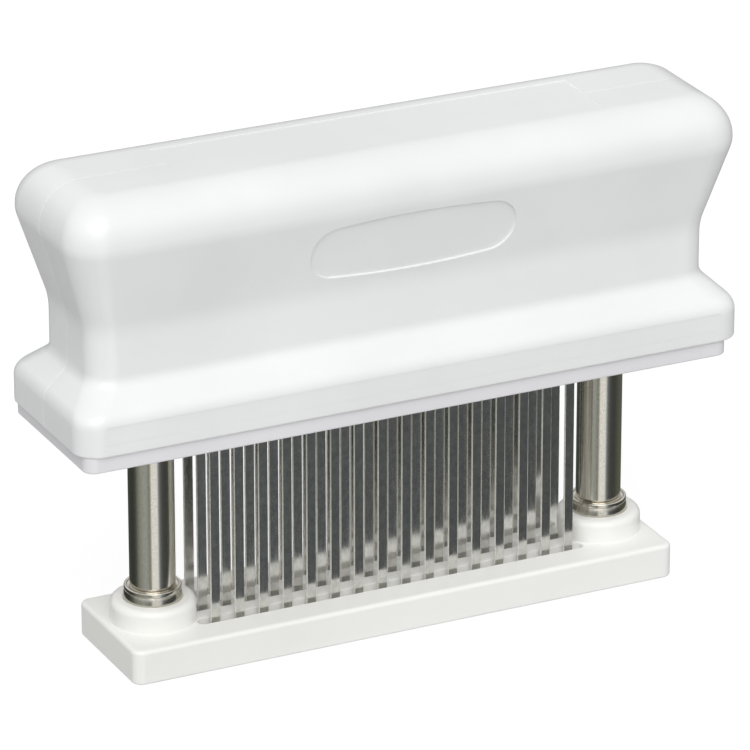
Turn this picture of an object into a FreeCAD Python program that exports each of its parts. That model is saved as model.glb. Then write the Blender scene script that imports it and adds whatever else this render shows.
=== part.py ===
import FreeCAD, Part
import math
import os

os.makedirs("parts", exist_ok=True)

# Blade meat tenderizer, in millimetres.
# X runs along the handle, Y runs from the front to the back, Z points up.
# The origin is the middle of the base plate's underside.

# Base plate
base_length = 121.0
base_depth = 28.8
base_thickness = 7.3
base_corner_radius = 2.2
base_edge_radius = 0.9
boss_radius = 8.75
boss_height = 4.8
boss_edge_radius = 1.5

# Columns and what stands on their feet
column_spacing = 100.6
column_radius = 4.65
column_wall = 0.8
column_seat_z = 4.5
column_top_z = 60.0
column_top_chamfer = 0.4
ferrule_radius = 6.05
ferrule_rim_radius = 5.8
ferrule_rim_bore_radius = 5.3
ferrule_height = 2.7
ferrule_sunk_depth = 2.0
ferrule_cup_depth = 1.2
ferrule_groove_width = 0.3
ferrule_groove_depth = 0.2
ferrule_foot_height = 0.3
ferrule_edge_chamfer = 0.2
plug_height = 5.0
foot_screw_radius = 2.0
foot_screw_head_radius = 3.7
foot_screw_head_height = 2.0
foot_screw_recess_depth = 2.6
foot_screw_reach = 4.0
foot_screw_slot_width = 0.9
foot_screw_slot_depth = 0.8
screw_hole_clearance = 0.15
screw_hole_extra_depth = 0.5

# Blades: three rows that share one grid
blades_per_row = 16
blade_rows = 3
blade_pitch = 5.3
row_spacing = 6.35
blade_width = 2.1
blade_thickness = 1.1
blade_tip_z = 1.6
blade_point_height = 4.2
blade_land_height = 1.0
blade_land_width = 0.2
blade_head_width = 3.2
blade_head_height = 2.2
blade_clearance = 0.3
channel_width = 2.8
channel_end_margin = 2.5
channel_depth = 3.0

# Handle outline, by height above the table and by inset from the widest outline
handle_length = 146.0
handle_depth = 38.0
handle_bottom_z = 52.5
flange_top_z = 60.0
neck_bottom_z = 65.2
neck_top_z = 76.1
head_bottom_z = 94.6
handle_top_z = 103.5
neck_inset_end = 5.3
neck_inset_side = 5.7
head_inset_side = 0.8
flange_corner_radius = 5.2
neck_corner_radius = 5.5
head_corner_radius = 8.2
top_edge_radius = 7.5
flange_blend = 1.8
neck_bottom_blend = 1.4
neck_top_blend = 1.9
head_blend = 1.2
flange_edge_radius = 0.5
handle_wall = 3.0
parting_groove = 0.12

# Recessed places on the handle
label_length = 91.6
label_depth_y = 17.0
label_recess = 0.25
badge_length = 45.0
badge_height = 13.6
badge_end_rise = 4.6
badge_side_rise = 0.9
badge_recess = 0.5
flange_panel_length = 135.4
flange_panel_height = 3.7
flange_panel_z = 56.85
flange_panel_recess = 0.2

# Bottom plate that closes the handle
plate_length = 140.0
plate_depth = 36.6
plate_thickness = 3.3
plate_corner_radius = 2.5
plate_edge_radius = 0.4
spigot_height = 4.0
spigot_clearance = 0.2
plate_screw_end_margin = 10.0
plate_screw_y = 9.0
plate_screw_radius = 1.45
plate_screw_head_radius = 2.8
plate_screw_head_height = 1.7
plate_screw_recess_depth = 2.0
plate_screw_reach = 9.0
plate_screw_slot_width = 0.6
plate_screw_slot_depth = 0.7
post_radius = 3.1

# Blade holder and clamp inside the handle
holder_length = 84.6
holder_side_gap = 1.3
holder_height = 9.0
holder_edge_radius = 0.8
holder_fit = 0.05
clamp_thickness = 3.0
clamp_screw_radius = 1.0
clamp_screw_head_radius = 1.9
clamp_screw_head_height = 1.3
clamp_screw_reach = 6.0
clamp_screw_slot_width = 0.5
clamp_screw_slot_depth = 0.6

# Guide bushes and retaining rings
bush_radius = 6.2
bush_flange_radius = 7.2
bush_flange_thickness = 1.0
bush_running_fit = 0.06
bush_bottom_step = 0.4
ring_radius = 6.2
ring_thickness = 1.0
ring_groove_depth = 0.35
ring_gap = 0.3
ring_opening = 2.4

# Return springs and the posts that press on them
spring_radius = 3.45
spring_wire_radius = 0.5
spring_turns = 8
spring_wire_sides = 6
post_pin_radius = 3.2
post_pin_chamfer = 0.4
post_tip_z = 56.0
post_head_radius = 5.0
post_head_height = 3.2
post_head_z = 96.4
post_head_clearance = 0.1
collar_half_length = 7.5
collar_bottom_z = 95.6

# How far a cutting body stands past what it cuts
cut_over = 1.0

# Sizes and places worked out from the driving sizes
holder_depth = handle_depth - 2.0 * (neck_inset_side + handle_wall + holder_side_gap)
plate_screw_x = handle_length / 2.0 - plate_screw_end_margin
boss_top_z = base_thickness + boss_height
ferrule_top_z = boss_top_z + ferrule_height
plate_bottom_z = handle_bottom_z - plate_thickness
plug_top_z = column_seat_z + plug_height
holder_bottom_z = handle_bottom_z + spigot_height
holder_top_z = holder_bottom_z + holder_height
bush_top_z = holder_bottom_z + bush_flange_thickness
ring_bottom_z = bush_top_z + ring_gap
first_blade_x = -blade_pitch * (blades_per_row - 1) / 2.0
blade_xs = [first_blade_x + blade_pitch * i for i in range(blades_per_row)]
row_ys = [row_spacing * (i - (blade_rows - 1) / 2.0) for i in range(blade_rows)]
column_xs = {"left": -column_spacing / 2.0, "right": column_spacing / 2.0}
up = FreeCAD.Vector(0, 0, 1)


def point(x, y, z):
    return FreeCAD.Vector(x, y, z)


def save(shape, name):
    """Write one node, and stop when it isn't made of sound solids."""
    clean = shape.removeSplitter()
    if not clean.isValid() or not clean.Solids:
        raise RuntimeError("bad solid in " + name)
    clean.exportStep("parts/" + name + ".step")
    print(name, len(clean.Solids), round(clean.Volume, 1))


def rounded_outline(length, depth, radius, z):
    """A rectangle with round corners, centred on the Z axis."""
    a = length / 2.0
    b = depth / 2.0
    k = radius * (1.0 - math.sqrt(0.5))
    edges = []
    for sx, sy in ((1, 1), (-1, 1), (-1, -1), (1, -1)):
        along = point(sx * (a - radius), sy * b, z)
        beside = point(sx * a, sy * (b - radius), z)
        middle = point(sx * (a - k), sy * (b - k), z)
        ends = (beside, along) if sx * sy > 0 else (along, beside)
        edges.append(Part.Arc(ends[0], middle, ends[1]).toShape())
    outline = []
    for i, corner in enumerate(edges):
        following = edges[(i + 1) % 4]
        outline.append(corner)
        outline.append(Part.makeLine(corner.Vertexes[1].Point, following.Vertexes[0].Point))
    return Part.Wire(outline)


def rounded_block(length, depth, radius, z0, z1):
    face = Part.Face(rounded_outline(length, depth, radius, z0))
    return face.extrude(point(0, 0, z1 - z0))


def flat_edges(shape, z):
    """The edges of a shape that lie in the plane at height z."""
    found = []
    for edge in shape.Edges:
        extent = edge.BoundBox
        if abs(extent.ZMin - z) < 0.001 and abs(extent.ZMax - z) < 0.001:
            found.append(edge)
    return found


def box(length, depth, height, x, y, z):
    """A box given by its size and by the middle of its underside."""
    return Part.makeBox(length, depth, height, point(x - length / 2.0, y - depth / 2.0, z))


def rod(radius, z0, z1, x, y=0.0):
    return Part.makeCylinder(radius, z1 - z0, point(x, y, z0), up)


def pipe(outer, inner, z0, z1, x, y=0.0):
    return rod(outer, z0, z1, x, y).cut(rod(inner, z0, z1, x, y))


def revolved(profile, x, y=0.0):
    """Turn a closed profile of (radius, height) points about an upright axis."""
    points = [point(x + r, y, z) for r, z in profile]
    face = Part.Face(Part.makePolygon(points + points[:1]))
    return face.revolve(point(x, y, 0), up, 360)


def long_slot(length, width, z0, z1, y):
    """A slot along X with round ends."""
    radius = width / 2.0
    straight = box(length - width, width, z1 - z0, 0, y, z0)
    for side in (-1, 1):
        straight = straight.fuse(rod(radius, z0, z1, side * (length / 2.0 - radius), y))
    return straight.removeSplitter()


# The handle's outer form is a stack of lofts between rounded rectangles.
def handle_corners():
    """The corners of the handle's side profile: inset at the ends, at the sides, height, radius."""
    return [
        (0.0, 0.0, handle_bottom_z, flange_corner_radius, 0.0),
        (0.0, 0.0, flange_top_z, flange_corner_radius, flange_blend),
        (neck_inset_end, neck_inset_side, neck_bottom_z, neck_corner_radius, neck_bottom_blend),
        (neck_inset_end, neck_inset_side, neck_top_z, neck_corner_radius, neck_top_blend),
        (0.0, head_inset_side, head_bottom_z, head_corner_radius, head_blend),
        (0.0, head_inset_side, handle_top_z, head_corner_radius, 0.0),
    ]


def mix(a, b, t):
    return tuple(p + (q - p) * t for p, q in zip(a, b))


def handle_runs():
    """Straight runs of the profile, and the rounded blends between them."""
    corners = [c[:4] for c in handle_corners()]
    blends = [c[4] for c in handle_corners()]
    runs = []
    start = corners[0]
    for i in range(1, len(corners) - 1):
        before = corners[i - 1]
        corner = corners[i]
        after = corners[i + 1]
        back = blends[i] / math.dist(before[1:3], corner[1:3])
        ahead = blends[i] / math.dist(corner[1:3], after[1:3])
        blend_start = mix(corner, before, back)
        blend_end = mix(corner, after, ahead)
        runs.append([start, blend_start])
        blend = []
        for t in (0.0, 0.25, 0.5, 0.75, 1.0):
            blend.append(mix(mix(blend_start, corner, t), mix(corner, blend_end, t), t))
        runs.append(blend)
        start = blend_end
    runs.append([start, corners[-1]])
    return runs


def handle_section(section, wall):
    inset_end, inset_side, z, radius = section
    length = handle_length - 2.0 * (inset_end + wall)
    depth = handle_depth - 2.0 * (inset_side + wall)
    return rounded_outline(length, depth, max(radius - wall, 1.0), z)


def handle_form(wall=0.0):
    """The handle's outside, or with a wall its hollow."""
    runs = handle_runs()
    form = None
    for run in runs[:-1]:
        wires = [handle_section(section, wall) for section in run]
        piece = Part.makeLoft(wires, True, len(run) == 2)
        form = piece if form is None else form.fuse(piece)
    head_start = runs[-1][0]
    face = Part.Face(handle_section(head_start, wall))
    head = face.extrude(point(0, 0, handle_top_z - wall - head_start[2]))
    head = head.makeFillet(top_edge_radius - wall, flat_edges(head, handle_top_z - wall))
    form = form.fuse(head).removeSplitter()
    if wall == 0.0:
        form = form.makeFillet(flange_edge_radius, flat_edges(form, handle_bottom_z))
    return form


def badge_cutter():
    """An oval with low, long sides, laid on the sloping front of the head."""
    rise = head_bottom_z - neck_top_z
    slope = math.atan2(neck_inset_side - head_inset_side, rise)
    middle_z = (head_bottom_z + neck_top_z) / 2.0
    middle_inset = (neck_inset_side + head_inset_side) / 2.0
    a = badge_length / 2.0
    b = badge_height / 2.0
    side_x = a - badge_end_rise
    side_z = b - badge_side_rise
    edges = []
    edges.append(Part.Arc(point(-side_x, 0, side_z), point(0, 0, b), point(side_x, 0, side_z)))
    edges.append(Part.Arc(point(side_x, 0, side_z), point(a, 0, 0), point(side_x, 0, -side_z)))
    edges.append(Part.Arc(point(side_x, 0, -side_z), point(0, 0, -b), point(-side_x, 0, -side_z)))
    edges.append(Part.Arc(point(-side_x, 0, -side_z), point(-a, 0, 0), point(-side_x, 0, side_z)))
    face = Part.Face(Part.Wire([edge.toShape() for edge in edges]))
    cutter = face.extrude(point(0, -badge_recess * 4.0, 0))
    cutter.translate(point(0, badge_recess, 0))
    cutter.rotate(point(0, 0, 0), point(1, 0, 0), math.degrees(slope))
    cutter.translate(point(0, middle_inset - handle_depth / 2.0, middle_z))
    return cutter


def spring_post_pocket(x):
    """The room for a spring post's head and shank in the collar under the handle's top."""
    head = rod(post_head_radius + post_head_clearance, post_head_z - post_head_clearance,
               post_head_z + post_head_height + post_head_clearance, x)
    shank = rod(post_pin_radius + post_head_clearance, collar_bottom_z, post_head_z, x)
    return head.fuse(shank)


def closed_handle():
    """Both halves of the handle in one, before they are parted."""
    hollow = handle_form(handle_wall)
    lower = hollow.BoundBox.ZMin
    mouth = rounded_block(handle_length - 2 * handle_wall, handle_depth - 2 * handle_wall,
                          flange_corner_radius - handle_wall, lower - cut_over, lower)
    body = handle_form().cut(hollow.fuse(mouth))
    collar_height = handle_top_z - handle_wall / 2.0 - collar_bottom_z
    inside = handle_form(handle_wall / 2.0)
    for x in column_xs.values():
        collar = box(2 * collar_half_length, handle_depth, collar_height, x, 0, collar_bottom_z)
        body = body.fuse(collar.common(inside))
        body = body.cut(spring_post_pocket(x))
    post_bottom = holder_bottom_z + spigot_clearance
    screw_top = plate_bottom_z + plate_screw_recess_depth + plate_screw_reach
    for x, y in plate_screw_places():
        post = rod(post_radius, post_bottom, neck_top_z, x, y).common(inside)
        hole = rod(plate_screw_radius + holder_fit, post_bottom - cut_over,
                   screw_top + screw_hole_extra_depth, x, y)
        body = body.fuse(post).cut(hole)
    label = box(label_length, label_depth_y, label_recess * 2, 0, 0, handle_top_z - label_recess)
    panel = box(flange_panel_length, flange_panel_recess * 2, flange_panel_height,
                0, -handle_depth / 2.0, flange_panel_z - flange_panel_height / 2.0)
    return body.cut(label).cut(panel).cut(badge_cutter())


def handle_halves():
    """The shells in front of the parting plane and behind it, with a fine groove round the seam."""
    length = handle_length + 2 * cut_over
    height = handle_top_z + cut_over
    depth = handle_depth / 2.0 + cut_over
    rim = handle_form().cut(handle_form(parting_groove))
    seam = rim.common(box(length, 2 * parting_groove, height, 0, 0, 0))
    body = closed_handle().cut(seam)
    halves = []
    for side in (-1, 1):
        halves.append(body.common(box(length, depth, height, 0, side * depth / 2.0, 0)))
    return halves


def bottom_plate():
    plate = rounded_block(plate_length, plate_depth, plate_corner_radius,
                          plate_bottom_z, handle_bottom_z)
    plate = plate.makeFillet(plate_edge_radius, flat_edges(plate, plate_bottom_z))
    inset = 2 * (handle_wall + spigot_clearance)
    spigot = rounded_block(handle_length - inset, handle_depth - inset,
                           flange_corner_radius - handle_wall, handle_bottom_z, holder_bottom_z)
    plate = plate.fuse(spigot)
    for x in column_xs.values():
        plate = plate.cut(rod(bush_radius, plate_bottom_z - cut_over,
                              holder_bottom_z + cut_over, x))
    for x in blade_xs:
        for y in row_ys:
            plate = plate.cut(box(blade_width + 2 * holder_fit, blade_thickness + 2 * holder_fit,
                                  holder_bottom_z - plate_bottom_z + 2 * cut_over,
                                  x, y, plate_bottom_z - cut_over))
    for x, y in plate_screw_places():
        plate = plate.cut(rod(plate_screw_head_radius + screw_hole_clearance,
                              plate_bottom_z - cut_over,
                              plate_bottom_z + plate_screw_recess_depth, x, y))
        plate = plate.cut(rod(plate_screw_radius + screw_hole_clearance, plate_bottom_z,
                              holder_bottom_z + cut_over, x, y))
    return plate


def plate_screw_places():
    return [(sx * plate_screw_x, sy * plate_screw_y) for sx in (-1, 1) for sy in (-1, 1)]


def plate_screw(x, y):
    """A pan-head screw that goes up through the bottom plate into a post of the handle."""
    head_top = plate_bottom_z + plate_screw_recess_depth
    head_bottom = head_top - plate_screw_head_height
    head = rod(plate_screw_head_radius, head_bottom, head_top, x, y)
    shank = rod(plate_screw_radius, head_top, head_top + plate_screw_reach, x, y)
    slot = box(2 * (plate_screw_head_radius + cut_over), plate_screw_slot_width,
               plate_screw_slot_depth, x, y, head_bottom)
    return head.fuse(shank).cut(slot)


def clamp_screw_xs():
    """Screws stand between blades, so their places follow the blade pitch."""
    half = (blades_per_row // 2 - 1) * blade_pitch
    return [-half, 0.0, half]


def clamp_screw_ys():
    return [-row_spacing / 2.0, row_spacing / 2.0]


def blade_holder():
    block = rounded_block(holder_length, holder_depth, holder_edge_radius,
                          holder_bottom_z, holder_top_z)
    for x in blade_xs:
        for y in row_ys:
            block = block.cut(box(blade_width + 2 * holder_fit, blade_thickness + 2 * holder_fit,
                                  holder_height + 2 * cut_over, x, y, holder_bottom_z - cut_over))
    for x in clamp_screw_xs():
        for y in clamp_screw_ys():
            block = block.cut(rod(clamp_screw_radius + holder_fit, holder_top_z - clamp_screw_reach,
                                  holder_top_z + cut_over, x, y))
    return block


def blade_clamp():
    """A plate with one groove for each row, which holds the blades' heads down."""
    top = holder_top_z + clamp_thickness
    plate = rounded_block(holder_length, holder_depth, holder_edge_radius, holder_top_z, top)
    groove_height = blade_head_height + holder_fit
    for y in row_ys:
        plate = plate.cut(box(blade_pitch * blades_per_row, blade_thickness + 2 * holder_fit,
                              groove_height, 0, y, holder_top_z))
    for x in clamp_screw_xs():
        for y in clamp_screw_ys():
            plate = plate.cut(rod(clamp_screw_radius + screw_hole_clearance,
                                  holder_top_z - cut_over, top + cut_over, x, y))
    return plate


def clamp_screw(x, y):
    top = holder_top_z + clamp_thickness
    head_top = top + clamp_screw_head_height
    low = holder_top_z - clamp_screw_reach + screw_hole_extra_depth
    head = rod(clamp_screw_head_radius, top, head_top, x, y)
    shank = rod(clamp_screw_radius, low, top, x, y)
    slot = box(2 * (clamp_screw_head_radius + cut_over), clamp_screw_slot_width,
               clamp_screw_slot_depth, x, y, head_top - clamp_screw_slot_depth)
    return head.fuse(shank).cut(slot)


def blade(x, y):
    """A flat blade with a wider head to hang from and a chisel point below."""
    half = blade_width / 2.0
    head = blade_head_width / 2.0
    top = holder_top_z + blade_head_height
    outline = [
        (-head, top), (head, top), (head, holder_top_z), (half, holder_top_z),
        (half, blade_tip_z + blade_land_height), (half - blade_land_width, blade_tip_z),
        (-half, blade_tip_z + blade_point_height), (-half, holder_top_z), (-head, holder_top_z),
    ]
    points = [point(x + px, y - blade_thickness / 2.0, pz) for px, pz in outline]
    face = Part.Face(Part.makePolygon(points + points[:1]))
    return face.extrude(point(0, blade_thickness, 0))


def guide_bush(x):
    """A flanged bush in the bottom plate that the column slides in."""
    bore = column_radius + bush_running_fit
    low = plate_bottom_z + bush_bottom_step
    profile = [
        (bore, low), (bush_radius, low), (bush_radius, holder_bottom_z),
        (bush_flange_radius, holder_bottom_z), (bush_flange_radius, bush_top_z), (bore, bush_top_z),
    ]
    return revolved(profile, x)


def spring_post(x):
    """The pin that hangs from the handle's top into the column and presses on the spring."""
    top = post_head_z + post_head_height
    profile = [
        (0.0, post_tip_z), (post_pin_radius - post_pin_chamfer, post_tip_z),
        (post_pin_radius, post_tip_z + post_pin_chamfer), (post_pin_radius, post_head_z),
        (post_head_radius, post_head_z), (post_head_radius, top), (0.0, top),
    ]
    return revolved(profile, x)


def base_plate():
    plate = rounded_block(base_length, base_depth, base_corner_radius, 0.0, base_thickness)
    plate = plate.makeFillet(base_edge_radius, flat_edges(plate, base_thickness))
    plate = plate.makeFillet(base_edge_radius / 2.0, flat_edges(plate, 0.0))
    channel_length = blade_xs[-1] - blade_xs[0] + blade_width + 2 * channel_end_margin
    for y in row_ys:
        plate = plate.cut(long_slot(channel_length, channel_width, base_thickness - channel_depth,
                                    base_thickness + cut_over, y))
        for x in blade_xs:
            plate = plate.cut(box(blade_width + 2 * blade_clearance,
                                  blade_thickness + 2 * blade_clearance,
                                  base_thickness + cut_over, x, y, -cut_over / 2.0))
    for x in column_xs.values():
        boss = rod(boss_radius, base_thickness / 2.0, boss_top_z, x)
        boss = boss.makeFillet(boss_edge_radius, flat_edges(boss, boss_top_z))
        plate = plate.fuse(boss)
        plate = plate.cut(rod(ferrule_radius, boss_top_z - ferrule_sunk_depth,
                              boss_top_z + cut_over, x))
        plate = plate.cut(rod(column_radius, column_seat_z, boss_top_z, x))
        plate = plate.cut(rod(foot_screw_radius + screw_hole_clearance, 0, column_seat_z, x))
        plate = plate.cut(rod(foot_screw_head_radius + screw_hole_clearance, -cut_over,
                              foot_screw_recess_depth, x))
    return plate


def column(x):
    """A steel tube with a chamfered top and a groove for the retaining ring."""
    bore = column_radius - column_wall
    inner = column_radius - ring_groove_depth
    ring_top_z = ring_bottom_z + ring_thickness
    profile = [
        (bore, column_seat_z), (column_radius, column_seat_z), (column_radius, ring_bottom_z),
        (inner, ring_bottom_z), (inner, ring_top_z), (column_radius, ring_top_z),
        (column_radius, column_top_z - column_top_chamfer),
        (column_radius - column_top_chamfer, column_top_z), (bore, column_top_z),
    ]
    return revolved(profile, x)


def ferrule(x):
    """A cup-shaped collar: tight on the column below, open round it at the rim."""
    low = boss_top_z - ferrule_sunk_depth
    cup_floor = ferrule_top_z - ferrule_cup_depth
    foot_z = boss_top_z + ferrule_foot_height
    groove_z = boss_top_z + ferrule_height / 2.0
    outer = ferrule_rim_radius
    profile = [
        (column_radius, low), (ferrule_radius, low), (ferrule_radius, foot_z),
        (outer, foot_z + ferrule_radius - outer), (outer, groove_z),
        (outer - ferrule_groove_depth, groove_z + ferrule_groove_width / 2.0),
        (outer, groove_z + ferrule_groove_width), (outer, ferrule_top_z - ferrule_edge_chamfer),
        (outer - ferrule_edge_chamfer, ferrule_top_z), (ferrule_rim_bore_radius, ferrule_top_z),
        (ferrule_rim_bore_radius, cup_floor), (column_radius, cup_floor),
    ]
    return revolved(profile, x)


def foot_plug(x):
    plug = rod(column_radius - column_wall, column_seat_z, plug_top_z, x)
    return plug.cut(rod(foot_screw_radius + holder_fit, column_seat_z,
                        column_seat_z + foot_screw_reach + screw_hole_extra_depth, x))


def foot_screw(x):
    """The screw that holds a column down, with its head sunk in the base."""
    head_top = foot_screw_recess_depth
    head_bottom = head_top - foot_screw_head_height
    head = rod(foot_screw_head_radius, head_bottom, head_top, x)
    shank = rod(foot_screw_radius, head_top, column_seat_z + foot_screw_reach, x)
    slot = box(2 * (foot_screw_head_radius + cut_over), foot_screw_slot_width,
               foot_screw_slot_depth, x, 0, head_bottom)
    return head.fuse(shank).cut(slot)


def retaining_ring(x):
    """An open spring ring in the column's groove, which stops the handle at the top."""
    ring = pipe(ring_radius, column_radius - ring_groove_depth, ring_bottom_z,
                ring_bottom_z + ring_thickness, x)
    gap = box(ring_opening, ring_radius, ring_thickness + cut_over,
              x, ring_radius, ring_bottom_z - cut_over / 2.0)
    return ring.cut(gap)


def return_spring(x):
    """A compression spring, hidden in the column, with a six-sided wire to keep it light."""
    low = plug_top_z + spring_wire_radius
    high = post_tip_z - spring_wire_radius
    middle = spring_radius - spring_wire_radius
    helix = Part.makeHelix((high - low) / spring_turns, high - low, middle)
    corners = []
    for i in range(spring_wire_sides):
        angle = 2.0 * math.pi * i / spring_wire_sides
        corners.append(point(middle + spring_wire_radius * math.cos(angle), 0,
                             spring_wire_radius * math.sin(angle)))
    section = Part.makePolygon(corners + corners[:1])
    coil = Part.Wire(helix).makePipeShell([section], True, True)
    coil.translate(point(x, 0, low))
    return coil


save(base_plate(), "base_plate")
save(Part.makeCompound([foot_screw(x) for x in column_xs.values()]), "foot_screws")
for side, x in column_xs.items():
    save(column(x), side + "_column")
    save(ferrule(x), side + "_ferrule")
    save(foot_plug(x), side + "_foot_plug")
    save(retaining_ring(x), side + "_retaining_ring")
    save(return_spring(x), side + "_return_spring")
    save(guide_bush(x), side + "_guide_bush")
    save(spring_post(x), side + "_spring_post")

front_half, rear_half = handle_halves()
save(front_half, "handle_front_shell")
save(rear_half, "handle_rear_shell")
save(bottom_plate(), "bottom_plate")
save(Part.makeCompound([plate_screw(x, y) for x, y in plate_screw_places()]), "plate_screws")
save(blade_holder(), "blade_holder")
save(blade_clamp(), "blade_clamp")
clamp_screws = [clamp_screw(x, y) for x in clamp_screw_xs() for y in clamp_screw_ys()]
save(Part.makeCompound(clamp_screws), "clamp_screws")
for name, y in zip(("front", "middle", "rear"), row_ys):
    save(Part.makeCompound([blade(x, y) for x in blade_xs]), name + "_blade_row")
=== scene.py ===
import bpy
import bmesh
import math
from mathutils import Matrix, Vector


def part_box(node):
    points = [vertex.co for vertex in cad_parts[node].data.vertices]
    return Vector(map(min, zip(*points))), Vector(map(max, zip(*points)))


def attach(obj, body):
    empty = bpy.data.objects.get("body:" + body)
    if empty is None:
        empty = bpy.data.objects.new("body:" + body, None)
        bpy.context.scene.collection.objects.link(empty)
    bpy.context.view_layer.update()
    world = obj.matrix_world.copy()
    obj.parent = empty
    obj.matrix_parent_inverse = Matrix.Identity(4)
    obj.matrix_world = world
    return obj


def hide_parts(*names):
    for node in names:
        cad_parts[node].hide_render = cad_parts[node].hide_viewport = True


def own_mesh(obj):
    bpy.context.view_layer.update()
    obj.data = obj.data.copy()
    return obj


# A hand tool that pushes 48 flat blades through a slotted base.
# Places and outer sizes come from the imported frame. The dictionaries hold the rest, in millimetres.

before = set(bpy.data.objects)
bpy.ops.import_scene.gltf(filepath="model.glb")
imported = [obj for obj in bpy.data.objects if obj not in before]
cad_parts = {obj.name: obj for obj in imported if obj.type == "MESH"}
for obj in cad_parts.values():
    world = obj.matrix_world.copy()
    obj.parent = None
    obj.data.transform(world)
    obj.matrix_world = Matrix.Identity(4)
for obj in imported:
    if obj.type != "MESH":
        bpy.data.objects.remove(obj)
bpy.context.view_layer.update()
mm = 0.001
sides = ("left", "right")
print("frame loaded:", len(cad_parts), "nodes")


# Helpers for meshes

meshing = {"samePoint": 0.0005, "packedSamePoint": 0.002, "flatWithin": 0.6, "onSeam": 0.001, "flatWeight": 80}

def newPiece(name, bm):
    bmesh.ops.recalc_face_normals(bm, faces=bm.faces)
    mesh = bpy.data.meshes.new(name)
    bm.to_mesh(mesh)
    bm.free()
    piece = bpy.data.objects.new(name, mesh)
    bpy.context.scene.collection.objects.link(piece)
    return piece


def bake(piece):
    # Turn what the modifiers make into the piece's own plain mesh
    evaluated = piece.evaluated_get(bpy.context.evaluated_depsgraph_get())
    mesh = bpy.data.meshes.new_from_object(evaluated)
    piece.modifiers.clear()
    piece.data = mesh
    mesh.name = piece.name
    return piece


def carve(piece, cutters):
    for cutter in cutters:
        cut = piece.modifiers.new("cut", "BOOLEAN")
        cut.operation = "DIFFERENCE"
        cut.solver = "EXACT"
        cut.object = cutter
    bpy.context.view_layer.update()
    bake(piece)
    for cutter in cutters:
        bpy.data.objects.remove(cutter)


def softenEdges(piece, width, angle, segments=2):
    # A small round on every sharp edge, and shading that keeps the flats flat
    edges = piece.modifiers.new("edges", "BEVEL")
    edges.width = width * mm
    edges.segments = segments
    edges.limit_method = "ANGLE"
    edges.angle_limit = math.radians(angle)
    edges.miter_outer = "MITER_ARC"
    edges.use_clamp_overlap = False
    piece.data.shade_smooth()
    return shadeFlats(piece)


def shadeFlats(piece):
    shading = piece.modifiers.new("shading", "WEIGHTED_NORMAL")
    shading.weight = meshing["flatWeight"]
    shading.keep_sharp = True
    bpy.context.view_layer.update()
    return bake(piece)


def openSeam(piece, width):
    # Break the edges round the face that meets the other half, which leaves a fine groove
    bm = bmesh.new()
    bm.from_mesh(piece.data)

    def onSeam(face):
        return all(abs(v.co.y) < meshing["onSeam"] * mm for v in face.verts)

    def outside(face):
        middle = face.calc_center_median()
        outward = face.normal.x * math.copysign(1, middle.x)
        return not onSeam(face) and middle.z > handleRimTop and (outward > 0.2 or face.normal.z > 0.2)

    rim = [e for e in bm.edges if len(e.link_faces) == 2
           and any(onSeam(f) for f in e.link_faces) and any(outside(f) for f in e.link_faces)]
    bmesh.ops.bevel(bm, geom=rim, offset=width * mm, offset_type="OFFSET", segments=1,
                    affect="EDGES", clamp_overlap=False)
    bm.to_mesh(piece.data)
    bm.free()


def copyNode(nodeName, name):
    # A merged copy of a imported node, with its flat faces whole again
    bm = bmesh.new()
    bm.from_mesh(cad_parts[nodeName].data)
    bmesh.ops.remove_doubles(bm, verts=bm.verts, dist=meshing["packedSamePoint"] * mm)
    flat = math.radians(meshing["flatWithin"])
    bmesh.ops.dissolve_limit(bm, angle_limit=flat, verts=bm.verts, edges=bm.edges)
    return newPiece(name, bm)


def lathe(name, profile, x, steps=128):
    # Turn a closed profile of (radius, height) points about an upright axis
    bm = bmesh.new()
    rings = []
    for i in range(steps):
        turn = 2 * math.pi * i / steps
        rings.append([bm.verts.new((x + r * mm * math.cos(turn), r * mm * math.sin(turn), z * mm))
                      for r, z in profile])
    for i in range(steps):
        here, there = rings[i], rings[(i + 1) % steps]
        for j in range(len(profile)):
            k = (j + 1) % len(profile)
            bm.faces.new((here[j], there[j], there[k], here[k]))
    bmesh.ops.remove_doubles(bm, verts=bm.verts, dist=meshing["samePoint"] * mm)
    return newPiece(name, bm)


def prism(name, outline, placeOf):
    # A solid between two copies of an outline; placeOf puts a flat point and a depth in space
    bm = bmesh.new()
    low = [bm.verts.new(placeOf(u, v, 0)) for u, v in outline]
    high = [bm.verts.new(placeOf(u, v, 1)) for u, v in outline]
    bm.faces.new(low)
    bm.faces.new(high)
    for i in range(len(outline)):
        k = (i + 1) % len(outline)
        bm.faces.new((low[i], low[k], high[k], high[i]))
    return newPiece(name, bm)


# Helpers for materials

def linear(hexColour):
    channels = [int(hexColour[i:i + 2], 16) / 255 for i in (1, 3, 5)]
    return [c / 12.92 if c <= 0.04045 else ((c + 0.055) / 1.055) ** 2.4 for c in channels] + [1.0]


def addNode(tree, kind, inputs=None, **settings):
    node = tree.nodes.new(kind)
    for setting, value in settings.items():
        setattr(node, setting, value)
    for socket, value in (inputs or {}).items():
        if isinstance(value, bpy.types.NodeSocket):
            tree.links.new(value, node.inputs[socket])
        else:
            node.inputs[socket].default_value = value
    return node


def startMaterial(name, look):
    material = bpy.data.materials.new(name)
    material.use_nodes = True
    tree = material.node_tree
    shader = tree.nodes["Principled BSDF"]
    shader.inputs["Base Color"].default_value = linear(look["colour"])
    shader.inputs["Metallic"].default_value = look.get("metallic", 0.0)
    shader.inputs["Roughness"].default_value = look["roughness"]
    return material, tree, shader


# Moulded ABS: satin white, with a very fine spark-eroded grain and slow waves where the wall sank

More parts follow.
